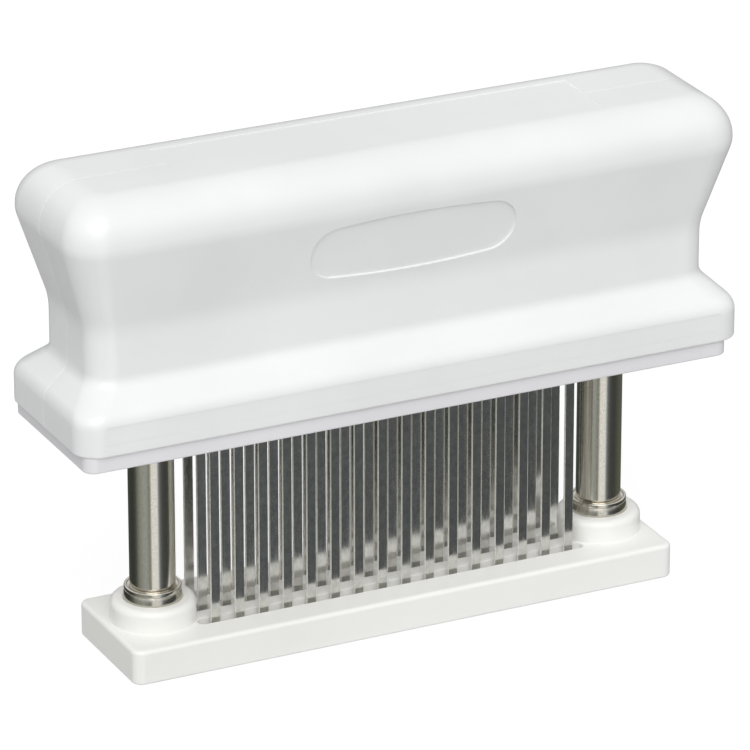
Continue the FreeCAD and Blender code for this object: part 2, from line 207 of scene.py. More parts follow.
absLook = {
    # Painted light: the base's white is lighter than the handle's, to make up for light its top misses in the
    # handle's shadow. The plate's white is a little greyer and bluer.
    "handle": ("#F1F2F2", "#EBECEC"), "plate": ("#EAE9EC", "#E5E4E7"), "base": ("#F8F8F5", "#F4F4F0"),
    "roughness": 0.33, "ior": 1.54,
    "grain": 0.30, "grainHeight": 0.004,   # real grain is near 0.05, too fine to show
    "wave": 14.0, "waveHeight": 0.05, "waveStrength": 0.5, "grainStrength": 0.6,
    "cloud": 38.0, "cloudRange": (0.35, 0.65), "glossSpread": 0.05,
}


def mouldedAbs(name, part):
    colour, darker = absLook[part]
    material, tree, shader = startMaterial(name, dict(absLook, colour=colour))
    shader.inputs["IOR"].default_value = absLook["ior"]
    place = addNode(tree, "ShaderNodeTexCoord").outputs["Object"]
    cloud = addNode(tree, "ShaderNodeTexNoise", {
        "Vector": place, "Scale": 1 / (absLook["cloud"] * mm), "Detail": 3.0})
    ramp = addNode(tree, "ShaderNodeValToRGB", {"Fac": cloud.outputs["Fac"]})
    ramp.color_ramp.elements[0].position = absLook["cloudRange"][0]
    ramp.color_ramp.elements[0].color = linear(darker)
    ramp.color_ramp.elements[1].position = absLook["cloudRange"][1]
    ramp.color_ramp.elements[1].color = linear(colour)
    wave = addNode(tree, "ShaderNodeTexNoise", {
        "Vector": place, "Scale": 1 / (absLook["wave"] * mm), "Detail": 1.0})
    grain = addNode(tree, "ShaderNodeTexNoise", {
        "Vector": place, "Scale": 1 / (absLook["grain"] * mm), "Detail": 2.0})
    gloss = addNode(tree, "ShaderNodeMapRange", {
        "Value": grain.outputs["Fac"], "From Min": 0.3, "From Max": 0.7,
        "To Min": absLook["roughness"] - absLook["glossSpread"],
        "To Max": absLook["roughness"] + absLook["glossSpread"]})
    slow = addNode(tree, "ShaderNodeBump", {
        "Height": wave.outputs["Fac"], "Distance": absLook["waveHeight"] * mm,
        "Strength": absLook["waveStrength"]})
    fine = addNode(tree, "ShaderNodeBump", {
        "Height": grain.outputs["Fac"], "Distance": absLook["grainHeight"] * mm,
        "Strength": absLook["grainStrength"], "Normal": slow.outputs["Normal"]})
    tree.links.new(ramp.outputs["Color"], shader.inputs["Base Color"])
    tree.links.new(gloss.outputs["Result"], shader.inputs["Roughness"])
    tree.links.new(fine.outputs["Normal"], shader.inputs["Normal"])
    return material


# Steel: one builder, as each finish differs in how its fine lines run

steelLook = {"toneRange": (0.3, 0.7), "glossier": 0.06, "duller": 0.08}

def steel(name, look):
    material, tree, shader = startMaterial(name, {"metallic": 1.0, **look})
    place = addNode(tree, "ShaderNodeTexCoord").outputs["Object"]
    stretch = addNode(tree, "ShaderNodeMapping", {
        "Vector": place, "Scale": [1 / (size * mm) for size in look["lines"]]})
    lines = addNode(tree, "ShaderNodeTexNoise", {
        "Vector": stretch.outputs["Vector"], "Scale": 1.0, "Detail": 3.0, "Roughness": 0.6})
    cloud = addNode(tree, "ShaderNodeTexNoise", {
        "Vector": place, "Scale": 1 / (look["cloud"] * mm), "Detail": 4.0})
    tone = addNode(tree, "ShaderNodeValToRGB", {"Fac": cloud.outputs["Fac"]})
    tone.color_ramp.elements[0].position = steelLook["toneRange"][0]
    tone.color_ramp.elements[0].color = linear(look["shade"])
    tone.color_ramp.elements[1].position = steelLook["toneRange"][1]
    tone.color_ramp.elements[1].color = linear(look["colour"])
    gloss = addNode(tree, "ShaderNodeMapRange", {
        "Value": lines.outputs["Fac"], "From Min": 0.25, "From Max": 0.75,
        "To Min": look["roughness"] - steelLook["glossier"],
        "To Max": look["roughness"] + steelLook["duller"]})
    bump = addNode(tree, "ShaderNodeBump", {
        "Height": lines.outputs["Fac"], "Distance": look["depth"] * mm, "Strength": 1.0})
    tree.links.new(tone.outputs["Color"], shader.inputs["Base Color"])
    tree.links.new(gloss.outputs["Result"], shader.inputs["Roughness"])
    tree.links.new(bump.outputs["Normal"], shader.inputs["Normal"])
    return material


# Brushed round: each fine scratch runs level round the tube, so a reflection smears up and down
brushedTube = steel("brushedStainlessTube", {
    "colour": "#E2DED5", "shade": "#C8C4BA", "roughness": 0.14, "lines": (0.9, 0.9, 0.16),
    "depth": 0.006, "cloud": 0.22})
# Turned on a lathe: brighter, with finer rings
turnedSteel = steel("turnedStainless", {
    "colour": "#CFCBC2", "shade": "#BFBBB1", "roughness": 0.17, "lines": (1.5, 1.5, 0.14),
    "depth": 0.004, "cloud": 0.6})
# Rolled strip: smooth faces with faint marks along the blade
rolledStrip = steel("rolledStainlessStrip", {
    "colour": "#DBDAD5", "shade": "#C4C4C2", "roughness": 0.13, "lines": (0.4, 0.4, 4.0),
    "depth": 0.003, "cloud": 1.2})
# Sheared sides: torn metal that scatters light like a pale matte surface and still glints
shearedEdge = steel("shearedStainlessEdge", {
    "colour": "#FFFDF6", "shade": "#DDDBD3", "roughness": 0.42, "lines": (0.5, 0.5, 0.32),
    "depth": 0.03, "cloud": 0.6, "metallic": 0.35})
screwSteel = steel("pressedStainlessScrew", {
    "colour": "#C2C1BD", "shade": "#AFAEAA", "roughness": 0.28, "lines": (0.4, 0.4, 0.4),
    "depth": 0.01, "cloud": 1.5})
springWire = steel("drawnSpringWire", {
    "colour": "#8F9092", "shade": "#77787B", "roughness": 0.30, "lines": (0.3, 0.3, 0.3),
    "depth": 0.01, "cloud": 1.0})

handleWhite = mouldedAbs("mouldedAbsHandle", "handle")
plateWhite = mouldedAbs("mouldedAbsPlate", "plate")
# painted light: the same ABS as the handle, with a lighter white for the base
paintedLighterBaseWhite = mouldedAbs("mouldedAbsBase", "base")

# Acetal: a matte, slightly waxy inner plastic
acetalLook = {
    "colour": "#E7E6E1", "shade": "#DEDDD7", "light": "#ECEBE6", "roughness": 0.5,
    "grain": 0.5, "grainHeight": 0.01, "grainStrength": 0.5,
}
acetal, acetalTree, acetalShader = startMaterial("mouldedAcetal", acetalLook)
acetalPlace = addNode(acetalTree, "ShaderNodeTexCoord").outputs["Object"]
acetalGrain = addNode(acetalTree, "ShaderNodeTexNoise", {
    "Vector": acetalPlace, "Scale": 1 / (acetalLook["grain"] * mm), "Detail": 2.0})
acetalBump = addNode(acetalTree, "ShaderNodeBump", {
    "Height": acetalGrain.outputs["Fac"], "Distance": acetalLook["grainHeight"] * mm,
    "Strength": acetalLook["grainStrength"]})
acetalTone = addNode(acetalTree, "ShaderNodeValToRGB", {"Fac": acetalGrain.outputs["Fac"]})
acetalTone.color_ramp.elements[0].color = linear(acetalLook["shade"])
acetalTone.color_ramp.elements[1].color = linear(acetalLook["light"])
acetalTree.links.new(acetalTone.outputs["Color"], acetalShader.inputs["Base Color"])
acetalTree.links.new(acetalBump.outputs["Normal"], acetalShader.inputs["Normal"])
print("materials made")


def dress(piece, body, slot, material, *nodes):
    if material:
        piece.data.materials.clear()
        piece.data.materials.append(material)
    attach(piece, body)
    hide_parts(*nodes)


# Handle: two half shells, each a stack of rounded rectangles that follows the waisted side profile

handle = {
    "wall": 3.0, "flangeTop": 60.0, "neckBottom": 65.2, "neckTop": 76.1, "headBottom": 93.85,
    "neckInsetEnd": 5.3, "neckInsetSide": 5.7, "headInsetSide": 0.8,
    "flangeCorner": 5.2, "neckCorner": 5.5, "headCorner": 7.6, "topCorner": 2.4,
    "flangeBlend": 1.8, "neckBottomBlend": 1.5, "neckTopBlend": 2.2, "headBlend": 1.1,
    "topRounding": 8.5, "topStraight": 1.0, "topRim": 0.4, "bottomEdge": 0.5, "leastInnerCorner": 1.0,
    "bottomSteps": 4, "cornerSteps": 14, "blendSteps": 8, "topSteps": 16,
    "seam": 0.16, "softEdge": 0.05, "softAngle": 55,
}
shellLow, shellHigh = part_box("handle_front_shell")
handleLength = (shellHigh.x - shellLow.x) / mm
handleDepth = -2 * shellLow.y / mm
handleBottom = shellLow.z / mm
handleTop = shellHigh.z / mm
handleRimTop = (handleBottom + handle["bottomEdge"]) * mm


def mix(a, b, t):
    return tuple(p + (q - p) * t for p, q in zip(a, b))


def handleStations():
    # Each station: inset at the ends, inset at the sides, height, corner radius
    h = handle
    stations = []
    for i in range(h["bottomSteps"] + 1):   # the small round under the flange
        turn = math.radians(90 * i / h["bottomSteps"])
        inset = h["bottomEdge"] * (1 - math.sin(turn))
        stations.append((inset, inset, handleBottom + h["bottomEdge"] * (1 - math.cos(turn)),
                         h["flangeCorner"] - inset))
    corners = [
        stations[-1],
        (0, 0, h["flangeTop"], h["flangeCorner"]),
        (h["neckInsetEnd"], h["neckInsetSide"], h["neckBottom"], h["neckCorner"]),
        (h["neckInsetEnd"], h["neckInsetSide"], h["neckTop"], h["neckCorner"]),
        (0, h["headInsetSide"], h["headBottom"], h["headCorner"]),
        (0, h["headInsetSide"], handleTop - h["topRounding"] + h["topStraight"], h["headCorner"]),
    ]
    blends = (h["flangeBlend"], h["neckBottomBlend"], h["neckTopBlend"], h["headBlend"])
    for i, blend in enumerate(blends, 1):
        before, corner, after = corners[i - 1:i + 2]
        start = mix(corner, before, blend / math.dist(before[1:3], corner[1:3]))
        end = mix(corner, after, blend / math.dist(corner[1:3], after[1:3]))
        for step in range(h["blendSteps"] + 1):
            t = step / h["blendSteps"]
            stations.append(mix(mix(start, corner, t), mix(corner, end, t), t))
    spring = handleTop - h["topRounding"]
    for i in range(1, h["topSteps"] + 1):   # the round over to the flat top
        turn = math.radians(90 * i / h["topSteps"])
        inset = h["topRounding"] * (1 - math.cos(turn))
        share = inset / h["topRounding"]
        radius = h["headCorner"] + (h["topCorner"] - h["headCorner"]) * share
        z = spring + h["topRounding"] * math.sin(turn)
        stations.append((inset, h["headInsetSide"] + inset, z, radius))
    last = stations[-1]
    stations.append((last[0] + h["topRim"], last[1] + h["topRim"], last[2], last[3]))
    return stations


def halfRing(station, wall, side):
    # Points from the right end's seam round one side to the left end's seam
    insetEnd, insetSide, z, radius = station
    a = handleLength / 2 - insetEnd - wall
    b = handleDepth / 2 - insetSide - wall
    r = max(radius - wall, handle["leastInnerCorner"]) if wall else radius
    z = min(z, handleTop - wall) if wall else z
    points = [(a, 0, z)]
    for end in (1, -1):
        for i in range(handle["cornerSteps"] + 1):
            turn = math.radians(90 * i / handle["cornerSteps"])
            turn = turn if end == 1 else math.radians(90) - turn
            points.append((end * (a - r + r * math.cos(turn)), side * (b - r + r * math.sin(turn)), z))
    points.append((-a, 0, z))
    return [Vector(p) * mm for p in points]


def handleShell(name, side):
    bm = bmesh.new()
    stations = handleStations()
    outer = [[bm.verts.new(p) for p in halfRing(s, 0, side)] for s in stations]
    inner = [[bm.verts.new(p) for p in halfRing(s, handle["wall"], side)] for s in stations]
    for rings in (outer, inner):
        for low, high in zip(rings, rings[1:]):
            for j in range(len(low) - 1):
                bm.faces.new((low[j], low[j + 1], high[j + 1], high[j]))
        bm.faces.new(rings[-1])
    for j in range(len(outer[0]) - 1):   # rim under the shell
        bm.faces.new((outer[0][j], outer[0][j + 1], inner[0][j + 1], inner[0][j]))
    for j in (0, -1):                    # the cut faces that meet at the seam
        for i in range(len(outer) - 1):
            bm.faces.new((outer[i][j], outer[i + 1][j], inner[i + 1][j], inner[i][j]))
    bm.faces.new((outer[-1][0], outer[-1][-1], inner[-1][-1], inner[-1][0]))
    bmesh.ops.remove_doubles(bm, verts=bm.verts, dist=meshing["samePoint"] * mm)
    bmesh.ops.dissolve_degenerate(bm, edges=bm.edges, dist=meshing["samePoint"] * mm)
    return newPiece(name, bm)


# The shallow places: a long one on top, an oval one in front, a thin one along the flange

recess = {
    "labelLength": 91.6, "labelWidth": 17.0, "labelDepth": 0.14,
    "ovalLength": 45.0, "ovalHeight": 13.6, "ovalEndRise": 4.6, "ovalSideRise": 0.9, "ovalDepth": 0.5,
    "ovalLift": 0.4, "ovalSteps": 18,
    "panelLength": 135.4, "panelHeight": 3.7, "panelMiddle": 56.85, "panelDepth": 0.08, "over": 2.0,
}


def boxOutline(length, height):
    return [(sx * length / 2, sz * height / 2) for sx, sz in ((-1, -1), (1, -1), (1, 1), (-1, 1))]


def ovalOutline():
    # Four arcs, one after another: right end, top, left end, bottom
    a, b = recess["ovalLength"] / 2, recess["ovalHeight"] / 2
    sideX, sideZ = a - recess["ovalEndRise"], b - recess["ovalSideRise"]
    outline = []
    for quarter, (chord, top) in enumerate(((sideZ, a), (sideX, b), (sideZ, a), (sideX, b))):
        rise = top - (sideX if quarter % 2 == 0 else sideZ)
        radius = (chord ** 2 + rise ** 2) / (2 * rise)
        reach = math.asin(chord / radius)
        facing = math.radians(90 * quarter)
        for i in range(recess["ovalSteps"]):
            turn = reach * (2 * i / recess["ovalSteps"] - 1)
            away = top - radius + radius * math.cos(turn)
            along = radius * math.sin(turn)
            outline.append((away * math.cos(facing) - along * math.sin(facing),
                            away * math.sin(facing) + along * math.cos(facing)))
    return outline


def labelPlace(u, v, depth):
    return Vector((u, v, handleTop - recess["labelDepth"] + depth * recess["over"])) * mm


def panelPlace(u, v, depth):
    y = -handleDepth / 2 + recess["panelDepth"] - depth * recess["over"]
    return Vector((u, y, recess["panelMiddle"] + v)) * mm


def ovalPlace(u, v, depth):
    rise = handle["headBottom"] - handle["neckTop"]
    slope = math.atan2(handle["neckInsetSide"] - handle["headInsetSide"], rise)
    middleZ = (handle["headBottom"] + handle["neckTop"]) / 2 + recess["ovalLift"]
    share = (middleZ - handle["neckTop"]) / rise
    inset = handle["neckInsetSide"] + (handle["headInsetSide"] - handle["neckInsetSide"]) * share
    away = recess["ovalDepth"] - depth * recess["over"]
    y = away * math.cos(slope) - v * math.sin(slope)
    z = away * math.sin(slope) + v * math.cos(slope)
    return Vector((u, inset - handleDepth / 2 + y, middleZ + z)) * mm


for half, side in (("front", -1), ("rear", 1)):
    shell = handleShell("handle" + half.title() + "Shell", side)
    label = boxOutline(recess["labelLength"], recess["labelWidth"])
    cutters = [prism("labelCut", label, labelPlace)]
    if half == "front":
        cutters.append(prism("ovalCut", ovalOutline(), ovalPlace))
    carve(shell, cutters)
    openSeam(shell, handle["seam"])
    softenEdges(shell, handle["softEdge"], handle["softAngle"])
    if half == "front":
        panel = boxOutline(recess["panelLength"], recess["panelHeight"])
        carve(shell, [prism("panelCut", panel, panelPlace)])
        shell.data.set_sharp_from_angle(angle=math.radians(handle["softAngle"]))
        shadeFlats(shell)
    dress(shell, "handle", "white_plastic", handleWhite, "handle_" + half + "_shell")
    print(shell.name, len(shell.data.polygons), "faces")

# Base and bottom plate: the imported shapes, with their edges rounded as a mould leaves them

moulding = {
    "baseEdge": 0.14, "plateEdge": 0.12, "softAngle": 50, "plateEndFrom": -67.0, "plateEndShift": 1.7,
}
basePlate = softenEdges(copyNode("base_plate", "basePlate"), moulding["baseEdge"], moulding["softAngle"])
dress(basePlate, "base", "white_plastic", paintedLighterBaseWhite, "base_plate")
bottomPlate = copyNode("bottom_plate", "bottomPlate")
for vertex in bottomPlate.data.vertices:   # the photographed plate sits further out at its left end
    if vertex.co.x < moulding["plateEndFrom"] * mm:
        vertex.co.x -= moulding["plateEndShift"] * mm
softenEdges(bottomPlate, moulding["plateEdge"], moulding["softAngle"])
dress(bottomPlate, "handle", "white_plastic", plateWhite, "bottom_plate")
print("plates made")

# Columns and ferrules: turned shapes

column = {"wall": 0.8, "chamfer": 0.4, "ringGrooveDepth": 0.35, "softEdge": 0.06, "softAngle": 30, "steps": 160}
ferrule = {
    "rimRadius": 5.8, "rimBore": 5.22, "sunk": 2.0, "cup": 0.3, "footHeight": 0.1,
    "rimHeight": 1.0, "groove": 0.26, "grooveDepth": 0.14, "edge": 0.12, "softEdge": 0.05, "softAngle": 30,
    "steps": 160,
}
for side in sides:
    low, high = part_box(side + "_column")
    x = (low.x + high.x) / 2
    r = (high.x - low.x) / 2 / mm
    z0, z1 = low.z / mm, high.z / mm
    ringLow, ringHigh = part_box(side + "_retaining_ring")
    g0, g1 = ringLow.z / mm, ringHigh.z / mm
    bore, chamfer, inner = r - column["wall"], column["chamfer"], r - column["ringGrooveDepth"]
    tube = lathe(side + "Column", [
        (bore, z0), (r, z0), (r, g0), (inner, g0), (inner, g1), (r, g1), (r, z1 - chamfer),
        (r - chamfer, z1), (bore, z1)], x, column["steps"])
    softenEdges(tube, column["softEdge"], column["softAngle"])
    dress(tube, "base", "column_steel", brushedTube, side + "_column")

    low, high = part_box(side + "_ferrule")
    foot = (high.x - low.x) / 2 / mm
    z0, z1 = low.z / mm, high.z / mm
    seat = z0 + ferrule["sunk"]
    rim, edge = ferrule["rimRadius"], ferrule["edge"]
    groove = z1 - ferrule["rimHeight"]
    half = ferrule["groove"] / 2
    collar = lathe(side + "Ferrule", [
        (r, z0), (foot, z0), (foot, seat + ferrule["footHeight"]),
        (rim - 0.05, groove - half),
        (rim - ferrule["grooveDepth"], groove), (rim, groove + half), (rim, z1 - edge),
        (rim - edge, z1), (ferrule["rimBore"] + edge, z1), (ferrule["rimBore"], z1 - edge),
        (ferrule["rimBore"], z1 - ferrule["cup"]), (r, z1 - ferrule["cup"])], x, ferrule["steps"])
    softenEdges(collar, ferrule["softEdge"], ferrule["softAngle"])
    dress(collar, "base", "ferrule_steel", turnedSteel, side + "_ferrule")

    # The hidden spring: a merged copy of the imported coil, smooth shaded, with a mesh of its own
    coil = copyNode(side + "_return_spring", side + "ReturnSpring")
    coil.data.shade_smooth()
    low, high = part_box(side + "_return_spring")
    dress(coil, "base", "spring_steel", springWire, side + "_return_spring")
    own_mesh(coil)
print("columns made")

# Blades: one blank, repeated along each row by a node tree.
# As in the photograph they are thin and stand a little to the right in their slots.

blade = {
    "width": 1.98, "thickness": 0.6, "shift": 0.27, "edge": 0.06, "headWidth": 3.2, "headHeight": 2.2,
    "pointHeight": 4.2, "landHeight": 1.0, "landWidth": 0.2, "pointGap": 0.3, "ringStep": 0.55,
    "sideOver": 0.6, "count": 16, "jag": 0.09, "jagSize": 0.7, "tilt": 0.0012, "seed": 7,
}


def bladeBlank(tip, top):
    # A strip with bevelled long edges, a slanted point below and a wider head above
    half, thick, edge = blade["width"] / 2, blade["thickness"] / 2, blade["edge"]

    def section(width, heightOf):
        points = []
        shift = blade["shift"] if width == half else 0
        for sx, sy in ((1, 1), (-1, 1), (-1, -1), (1, -1)):
            side = (sx * width + shift, sy * (thick - edge))
            face = (sx * (width - edge) + shift, sy * thick)
            points += [side, face] if sx * sy > 0 else [face, side]
        return [Vector((px, py, heightOf(px))) * mm for px, py in points]

    def pointHeight(px):
        px = px - blade["shift"]
        land = half - blade["landWidth"]
        if px > land:
            return tip + blade["landHeight"] * (px - land) / blade["landWidth"]
        return tip + blade["pointHeight"] * (land - px) / (half + land)

    shoulder = top - blade["headHeight"]
    start = tip + blade["pointHeight"] + blade["pointGap"]
    rings = [section(half, pointHeight)]
    steps = int((shoulder - start) / blade["ringStep"])
    for i in range(steps + 1):
        z = start + (shoulder - start) * i / steps
        rings.append(section(half, lambda px: z))
    rings.append(section(blade["headWidth"] / 2, lambda px: shoulder))
    rings.append(section(blade["headWidth"] / 2, lambda px: top))
    bm = bmesh.new()
    made = [[bm.verts.new(p) for p in ring] for ring in rings]
    for low, high in zip(made, made[1:]):
        for j in range(8):
            k = (j + 1) % 8
            bm.faces.new((low[j], low[k], high[k], high[j]))
    bm.faces.new(made[0])
    bm.faces.new(made[-1])
    return newPiece("bladeBlank", bm)


def addSockets(tree, inputs, result):
    # Name the tree's inputs and its output, and give back the inputs' sockets
    for name, kind in inputs.items():
        tree.interface.new_socket(name=name, in_out="INPUT", socket_type="NodeSocket" + kind)
    tree.interface.new_socket(name=result, in_out="OUTPUT", socket_type="NodeSocketGeometry")
    return addNode(tree, "NodeGroupInput").outputs


def bladeRowTree():
    tree = bpy.data.node_groups.new("bladeRow", "GeometryNodeTree")
    given = addSockets(tree, {
        "Blank": "Object", "Count": "Int", "Start": "Vector", "Pitch": "Float", "Tilt": "Float", "Jag": "Float",
        "Jag Size": "Float", "Side Over": "Float", "Seed": "Int",
        "Faces": "Material", "Edges": "Material"}, "Row")
    step = addNode(tree, "ShaderNodeCombineXYZ", {"X": given["Pitch"]})
    places = addNode(tree, "GeometryNodeMeshLine", {
        "Count": given["Count"], "Start Location": given["Start"], "Offset": step.outputs["Vector"]})
    blank = addNode(tree, "GeometryNodeObjectInfo", {"Object": given["Blank"]})
    least = addNode(tree, "ShaderNodeMath", {0: given["Tilt"], 1: -1.0}, operation="MULTIPLY")
    lean = addNode(tree, "FunctionNodeRandomValue", {
        "Min": least.outputs[0], "Max": given["Tilt"], "Seed": given["Seed"]}, data_type="FLOAT_VECTOR")
    row = addNode(tree, "GeometryNodeInstanceOnPoints", {
        "Points": places.outputs["Mesh"], "Instance": blank.outputs["Geometry"],
        "Rotation": lean.outputs["Value"]})
    real = addNode(tree, "GeometryNodeRealizeInstances", {0: row.outputs["Instances"]})
    # Shearing leaves the narrow sides uneven
    where = addNode(tree, "GeometryNodeInputPosition")
    finer = addNode(tree, "ShaderNodeMath", {0: 1.0, 1: given["Jag Size"]}, operation="DIVIDE")
    uneven = addNode(tree, "ShaderNodeTexNoise", {
        "Vector": where.outputs[0], "W": given["Seed"], "Scale": finer.outputs[0], "Detail": 3.0},
        noise_dimensions="4D")
    centred = addNode(tree, "ShaderNodeMath", {0: uneven.outputs["Fac"], 1: 0.5}, operation="SUBTRACT")
    moved = addNode(tree, "ShaderNodeMath", {0: centred.outputs[0], 1: given["Jag"]}, operation="MULTIPLY")
    shift = addNode(tree, "ShaderNodeCombineXYZ", {"X": moved.outputs[0], "Y": 0.0})
    torn = addNode(tree, "GeometryNodeSetPosition", {
        "Geometry": real.outputs[0], "Offset": shift.outputs["Vector"]})
    facing = addNode(tree, "GeometryNodeInputNormal")
    parts = addNode(tree, "ShaderNodeSeparateXYZ", {0: facing.outputs[0]})
    across = addNode(tree, "ShaderNodeMath", {0: parts.outputs["X"]}, operation="ABSOLUTE")
    narrow = addNode(tree, "FunctionNodeCompare", {
        "A": across.outputs[0], "B": given["Side Over"]}, operation="GREATER_THAN")
    faces = addNode(tree, "GeometryNodeSetMaterial", {
        "Geometry": torn.outputs["Geometry"], "Material": given["Faces"]})
    edges = addNode(tree, "GeometryNodeSetMaterial", {
        "Geometry": faces.outputs["Geometry"], "Selection": narrow.outputs["Result"],
        "Material": given["Edges"]})
    addNode(tree, "NodeGroupOutput", {"Row": edges.outputs["Geometry"]})
    return tree


def growFromTree(name, tree, values):
    # Run a node tree on an empty mesh and keep what it makes as a plain mesh
    carrier = bpy.data.objects.new(name, bpy.data.meshes.new(name))
    bpy.context.scene.collection.objects.link(carrier)
    grow = carrier.modifiers.new("grow", "NODES")
    grow.node_group = tree
    for item in tree.interface.items_tree:
        if item.in_out == "INPUT" and item.name in values:
            grow[item.identifier] = values[item.name]
    bpy.context.view_layer.update()
    return bake(carrier)


rowLow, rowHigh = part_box("front_blade_row")
blank = bladeBlank(rowLow.z / mm, rowHigh.z / mm)
bladeTree = bladeRowTree()
pitch = (rowHigh.x - rowLow.x - blade["headWidth"] * mm) / (blade["count"] - 1)
for number, row in enumerate(("front", "middle", "rear")):
    low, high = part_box(row + "_blade_row")
    start = Vector((low.x + blade["headWidth"] / 2 * mm, (low.y + high.y) / 2, 0))
    blades = growFromTree(row + "BladeRow", bladeTree, {
        "Blank": blank, "Count": blade["count"], "Start": start, "Pitch": pitch, "Tilt": blade["tilt"],
        "Jag": blade["jag"] * mm, "Jag Size": blade["jagSize"] * mm, "Side Over": blade["sideOver"],
        "Seed": blade["seed"] + number,
        "Faces": rolledStrip, "Edges": shearedEdge})
    dress(blades, "handle", "blade_steel", None, row + "_blade_row")
bpy.data.objects.remove(blank)
print("blades made")

# Screws seen from below: one blank and one tree for both kinds

screws = {
    "plate_screws": {
        "body": "handle", "headHeight": 1.7, "headRadius": 2.8, "radius": 1.45, "slot": 0.6, "slotDepth": 0.7,
        "across": 2, "rows": 2},
    "foot_screws": {
        "body": "base", "headHeight": 2.0, "headRadius": 3.7, "radius": 2.0, "slot": 0.9, "slotDepth": 0.8,
        "across": 2, "rows": 1},
}
screwFinish = {
    "rimShare": 0.22, "rimCut": 0.3, "tip": 0.3, "slotOver": 2, "edge": 0.08, "angle": 35,
    "steps": 48, "seed": 3,
}


def screwBlank(size, length):
    # A pan head that looks down, with a rounded rim and a slot, and a plain shank above it
    headRadius = size["headRadius"]
    rim, tip = headRadius * screwFinish["rimShare"], screwFinish["tip"]
    cut = rim * screwFinish["rimCut"]
    profile = [(0, 0), (headRadius - rim, 0), (headRadius - cut, cut), (headRadius, rim),
               (headRadius, size["headHeight"]), (size["radius"], size["headHeight"]),
               (size["radius"], length - tip), (size["radius"] - tip, length), (0, length)]
    blank = lathe("screwBlank", profile, 0, screwFinish["steps"])
    slot = prism("slotCut", boxOutline(2 * headRadius + screwFinish["slotOver"], size["slot"]),
                 lambda u, v, depth: Vector((u, v, size["slotDepth"] * (2 * depth - 1))) * mm)
    carve(blank, [slot])
    return softenEdges(blank, screwFinish["edge"], screwFinish["angle"])


def screwTree():
    tree = bpy.data.node_groups.new("screwPattern", "GeometryNodeTree")
    given = addSockets(tree, {
        "Blank": "Object", "Across": "Int", "Rows": "Int", "Span": "Float", "Depth": "Float", "Low": "Vector",
        "Turn": "Float", "Seed": "Int", "Finish": "Material"}, "Screws")
    places = addNode(tree, "GeometryNodeMeshGrid", {
        "Size X": given["Span"], "Size Y": given["Depth"],
        "Vertices X": given["Across"], "Vertices Y": given["Rows"]})
    placed = addNode(tree, "GeometryNodeTransform", {
        "Geometry": places.outputs["Mesh"], "Translation": given["Low"]})
    blank = addNode(tree, "GeometryNodeObjectInfo", {"Object": given["Blank"]})
    turn = addNode(tree, "FunctionNodeRandomValue", {
        2: 0.0, 3: given["Turn"], "Seed": given["Seed"]}, data_type="FLOAT")
    spin = addNode(tree, "ShaderNodeCombineXYZ", {"Z": turn.outputs[1]})
    many = addNode(tree, "GeometryNodeInstanceOnPoints", {
        "Points": placed.outputs["Geometry"], "Instance": blank.outputs["Geometry"],
        "Rotation": spin.outputs["Vector"]})
    real = addNode(tree, "GeometryNodeRealizeInstances", {0: many.outputs["Instances"]})
    finish = addNode(tree, "GeometryNodeSetMaterial", {
        "Geometry": real.outputs[0], "Material": given["Finish"]})
    addNode(tree, "NodeGroupOutput", {"Screws": finish.outputs["Geometry"]})
    return tree


pattern = screwTree()
for nodeName, size in screws.items():
    low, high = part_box(nodeName)
    # The heads are the widest part, so the node's box gives their places
    headWidth = 2 * size["headRadius"] * mm
    blank = screwBlank(size, (high.z - low.z) / mm)
    fixed = growFromTree(nodeName.replace("_s", "S"), pattern, {
        "Blank": blank, "Across": size["across"], "Rows": size["rows"],
        "Span": high.x - low.x - headWidth, "Depth": high.y - low.y - headWidth,
        "Low": Vector((0, 0, low.z)), "Turn": math.pi, "Seed": screwFinish["seed"], "Finish": screwSteel})
    dress(fixed, size["body"], "screw_steel", None, nodeName)
    bpy.data.objects.remove(blank)
print("screws made")

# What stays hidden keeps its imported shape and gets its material

carried = {
    "blade_holder": acetal, "blade_clamp": acetal, "clamp_screws": screwSteel,
    "left_guide_bush": acetal, "right_guide_bush": acetal, "left_spring_post": acetal,
    "right_spring_post": acetal, "left_foot_plug": screwSteel, "right_foot_plug": screwSteel,
    "left_retaining_ring": springWire, "right_retaining_ring": springWire,
}
for nodeName, material in carried.items():
    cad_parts[nodeName].material_slots[0].material = material

# Stage: white floor and surroundings, one soft lamp from the front and above

stage = {
    "floorSize": 4000.0, "floorGap": 0.03, "floorColour": "#D2D2D2",
    "cameraGlow": 0.86, "cameraShade": 0.20, "flagsEnd": (0.12, 0.45),   # how far up the grey flags fade
    "skyForObject": 0.61, "skySlope": (-0.12, -0.14, 0.0), "lamp": 1.39, "lampAngle": 50,
    "lampDirection": (-0.26, -0.61, 0.748),
}
floorMesh = bmesh.new()
floorMesh.faces.new([floorMesh.verts.new(Vector((u, v, -stage["floorGap"])) * mm)
                     for u, v in boxOutline(stage["floorSize"], stage["floorSize"])])
floor = newPiece("floor", floorMesh)
floorMaterial = bpy.data.materials.new("paperFloor")
floorMaterial.use_nodes = True
floorTree = floorMaterial.node_tree
floorTree.nodes.clear()
rays = addNode(floorTree, "ShaderNodeLightPath").outputs
seen = addNode(floorTree, "ShaderNodeMath", {
    0: rays["Is Camera Ray"], 1: rays["Is Transmission Ray"]}, operation="MAXIMUM")
plain = addNode(floorTree, "ShaderNodeBsdfDiffuse", {"Color": linear(stage["floorColour"])})
glow = addNode(floorTree, "ShaderNodeEmission", {"Strength": stage["cameraGlow"]})
shade = addNode(floorTree, "ShaderNodeBsdfDiffuse", {"Color": [stage["cameraShade"]] * 3 + [1.0]})
white = addNode(floorTree, "ShaderNodeAddShader", {0: glow.outputs[0], 1: shade.outputs[0]})
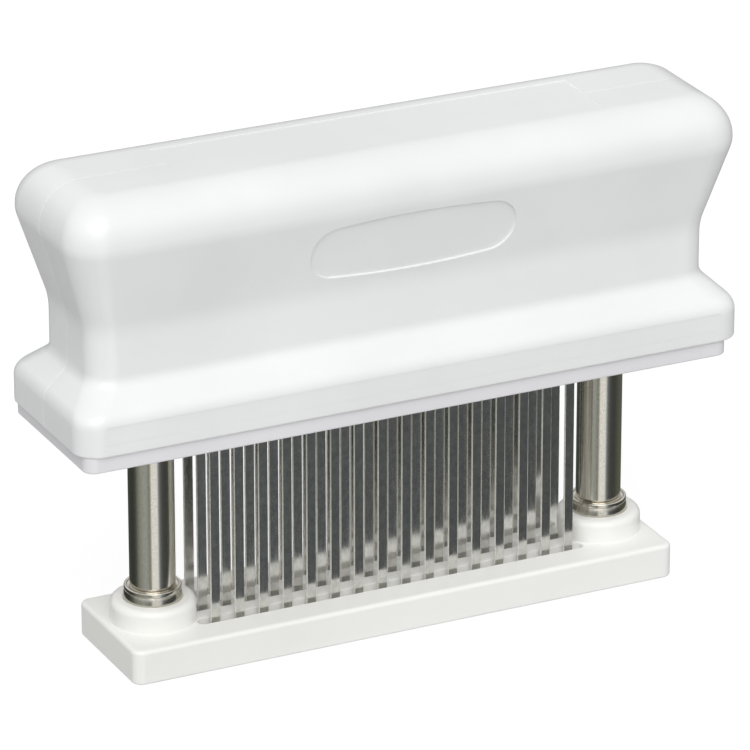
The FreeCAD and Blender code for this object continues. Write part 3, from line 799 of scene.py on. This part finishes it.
both = addNode(floorTree, "ShaderNodeMixShader", {
    0: seen.outputs[0], 1: plain.outputs[0], 2: white.outputs[0]})
addNode(floorTree, "ShaderNodeOutputMaterial", {"Surface": both.outputs[0]})
floor.data.materials.append(floorMaterial)
floor.visible_glossy = False   # reflections look past the paper into the studio round it

# White for the camera, soft for the object, and for reflections a white studio with grey flags
world = bpy.data.worlds.new("studio")
world.use_nodes = True
bpy.context.scene.world = world
sky = world.node_tree
sky.nodes.clear()
rays = addNode(sky, "ShaderNodeLightPath").outputs
towards = addNode(sky, "ShaderNodeTexCoord").outputs["Generated"]
parts = addNode(sky, "ShaderNodeSeparateXYZ", {0: towards}).outputs
backwards = addNode(sky, "ShaderNodeMath", {0: parts["Y"], 1: -1.0}, operation="MULTIPLY")
bearing = addNode(sky, "ShaderNodeMath", {0: parts["X"], 1: backwards.outputs[0]}, operation="ARCTAN2")
# 0 is behind on the left, 0.5 straight in front, 1 behind on the right
share = addNode(sky, "ShaderNodeMapRange", {
    "Value": bearing.outputs[0], "From Min": -math.pi, "From Max": math.pi})
flags = addNode(sky, "ShaderNodeValToRGB", {"Fac": share.outputs["Result"]})
bands = [   # bearing in degrees from the front, towards the right, and what stands there
    (-180, "#4A4C46"), (-160, "#454A47"), (-141, "#3C403E"), (-122, "#404641"), (-108, "#54554E"),
    (-96, "#7D8078"), (-84, "#979992"), (-62, "#AAAEA9"), (-46, "#A7ACA8"), (-36, "#8B908B"), (-29, "#96958F"),
    (-24, "#FFFDF8"), (6, "#FBFDFF"), (11, "#A0A7AE"), (17, "#787D81"), (25, "#5E6161"), (36, "#4D4F4E"),
    (56, "#474947"), (75, "#565851"), (95, "#62665C"), (125, "#62665C"), (155, "#55584F"), (180, "#4A4C46"),
]
stops = flags.color_ramp.elements
while len(stops) < len(bands):
    stops.new(0.5)
for stop, (degrees, colour) in zip(stops, bands):
    stop.position = (degrees + 180) / 360
    stop.color = linear(colour)
above = addNode(sky, "ShaderNodeMapRange", {
    "Value": parts["Z"], "From Min": stage["flagsEnd"][0], "From Max": stage["flagsEnd"][1]})
studio = addNode(sky, "ShaderNodeMix", {
    0: above.outputs["Result"], 6: flags.outputs["Color"], 7: (1, 1, 1, 1)}, data_type="RGBA")
reflected = addNode(sky, "ShaderNodeBackground", {"Color": studio.outputs[2], "Strength": 1.0})
# The light on the object falls off towards the back and the right
slope = addNode(sky, "ShaderNodeVectorMath", {0: towards, 1: stage["skySlope"]}, operation="DOT_PRODUCT")
level = addNode(sky, "ShaderNodeMath", {
    0: slope.outputs["Value"], 1: stage["skyForObject"], 2: stage["skyForObject"]}, operation="MULTIPLY_ADD")
soft = addNode(sky, "ShaderNodeBackground", {"Color": (1, 1, 1, 1), "Strength": level.outputs[0]})
clear = addNode(sky, "ShaderNodeBackground", {"Color": (1, 1, 1, 1), "Strength": 1.0})
seen = addNode(sky, "ShaderNodeMath", {
    0: rays["Is Camera Ray"], 1: rays["Is Transmission Ray"]}, operation="MAXIMUM")
first = addNode(sky, "ShaderNodeMixShader", {
    0: rays["Is Glossy Ray"], 1: soft.outputs[0], 2: reflected.outputs[0]})
both = addNode(sky, "ShaderNodeMixShader", {0: seen.outputs[0], 1: first.outputs[0], 2: clear.outputs[0]})
addNode(sky, "ShaderNodeOutputWorld", {"Surface": both.outputs[0]})

lamp = bpy.data.objects.new("softLamp", bpy.data.lights.new("softLamp", "SUN"))
lamp.data.energy = stage["lamp"]
lamp.data.angle = math.radians(stage["lampAngle"])
lamp.rotation_euler = Vector(stage["lampDirection"]).to_track_quat("Z", "Y").to_euler()
bpy.context.scene.collection.objects.link(lamp)

# Camera: fitted to the photograph's edges

view = {
    "place": (-482.93, -992.19, 511.63), "bearing": 25.94, "tilt": 22.84,
    "lens": 285.8, "sensor": 36.0, "shiftX": -0.0036, "shiftY": 0.0226, "sightEnd": 20000.0,
}
camera = bpy.data.objects.new("camera", bpy.data.cameras.new("camera"))
camera.data.lens = view["lens"]
camera.data.sensor_width = view["sensor"]
camera.data.sensor_fit = "HORIZONTAL"
camera.data.shift_x = view["shiftX"]
camera.data.shift_y = view["shiftY"]
camera.location = Vector(view["place"]) * mm
camera.rotation_euler = (math.radians(90 - view["tilt"]), 0, math.radians(-view["bearing"]))
camera.data.clip_end = view["sightEnd"] * mm
bpy.context.scene.collection.objects.link(camera)
bpy.context.scene.camera = camera
bpy.context.scene.view_settings.view_transform = "Standard"
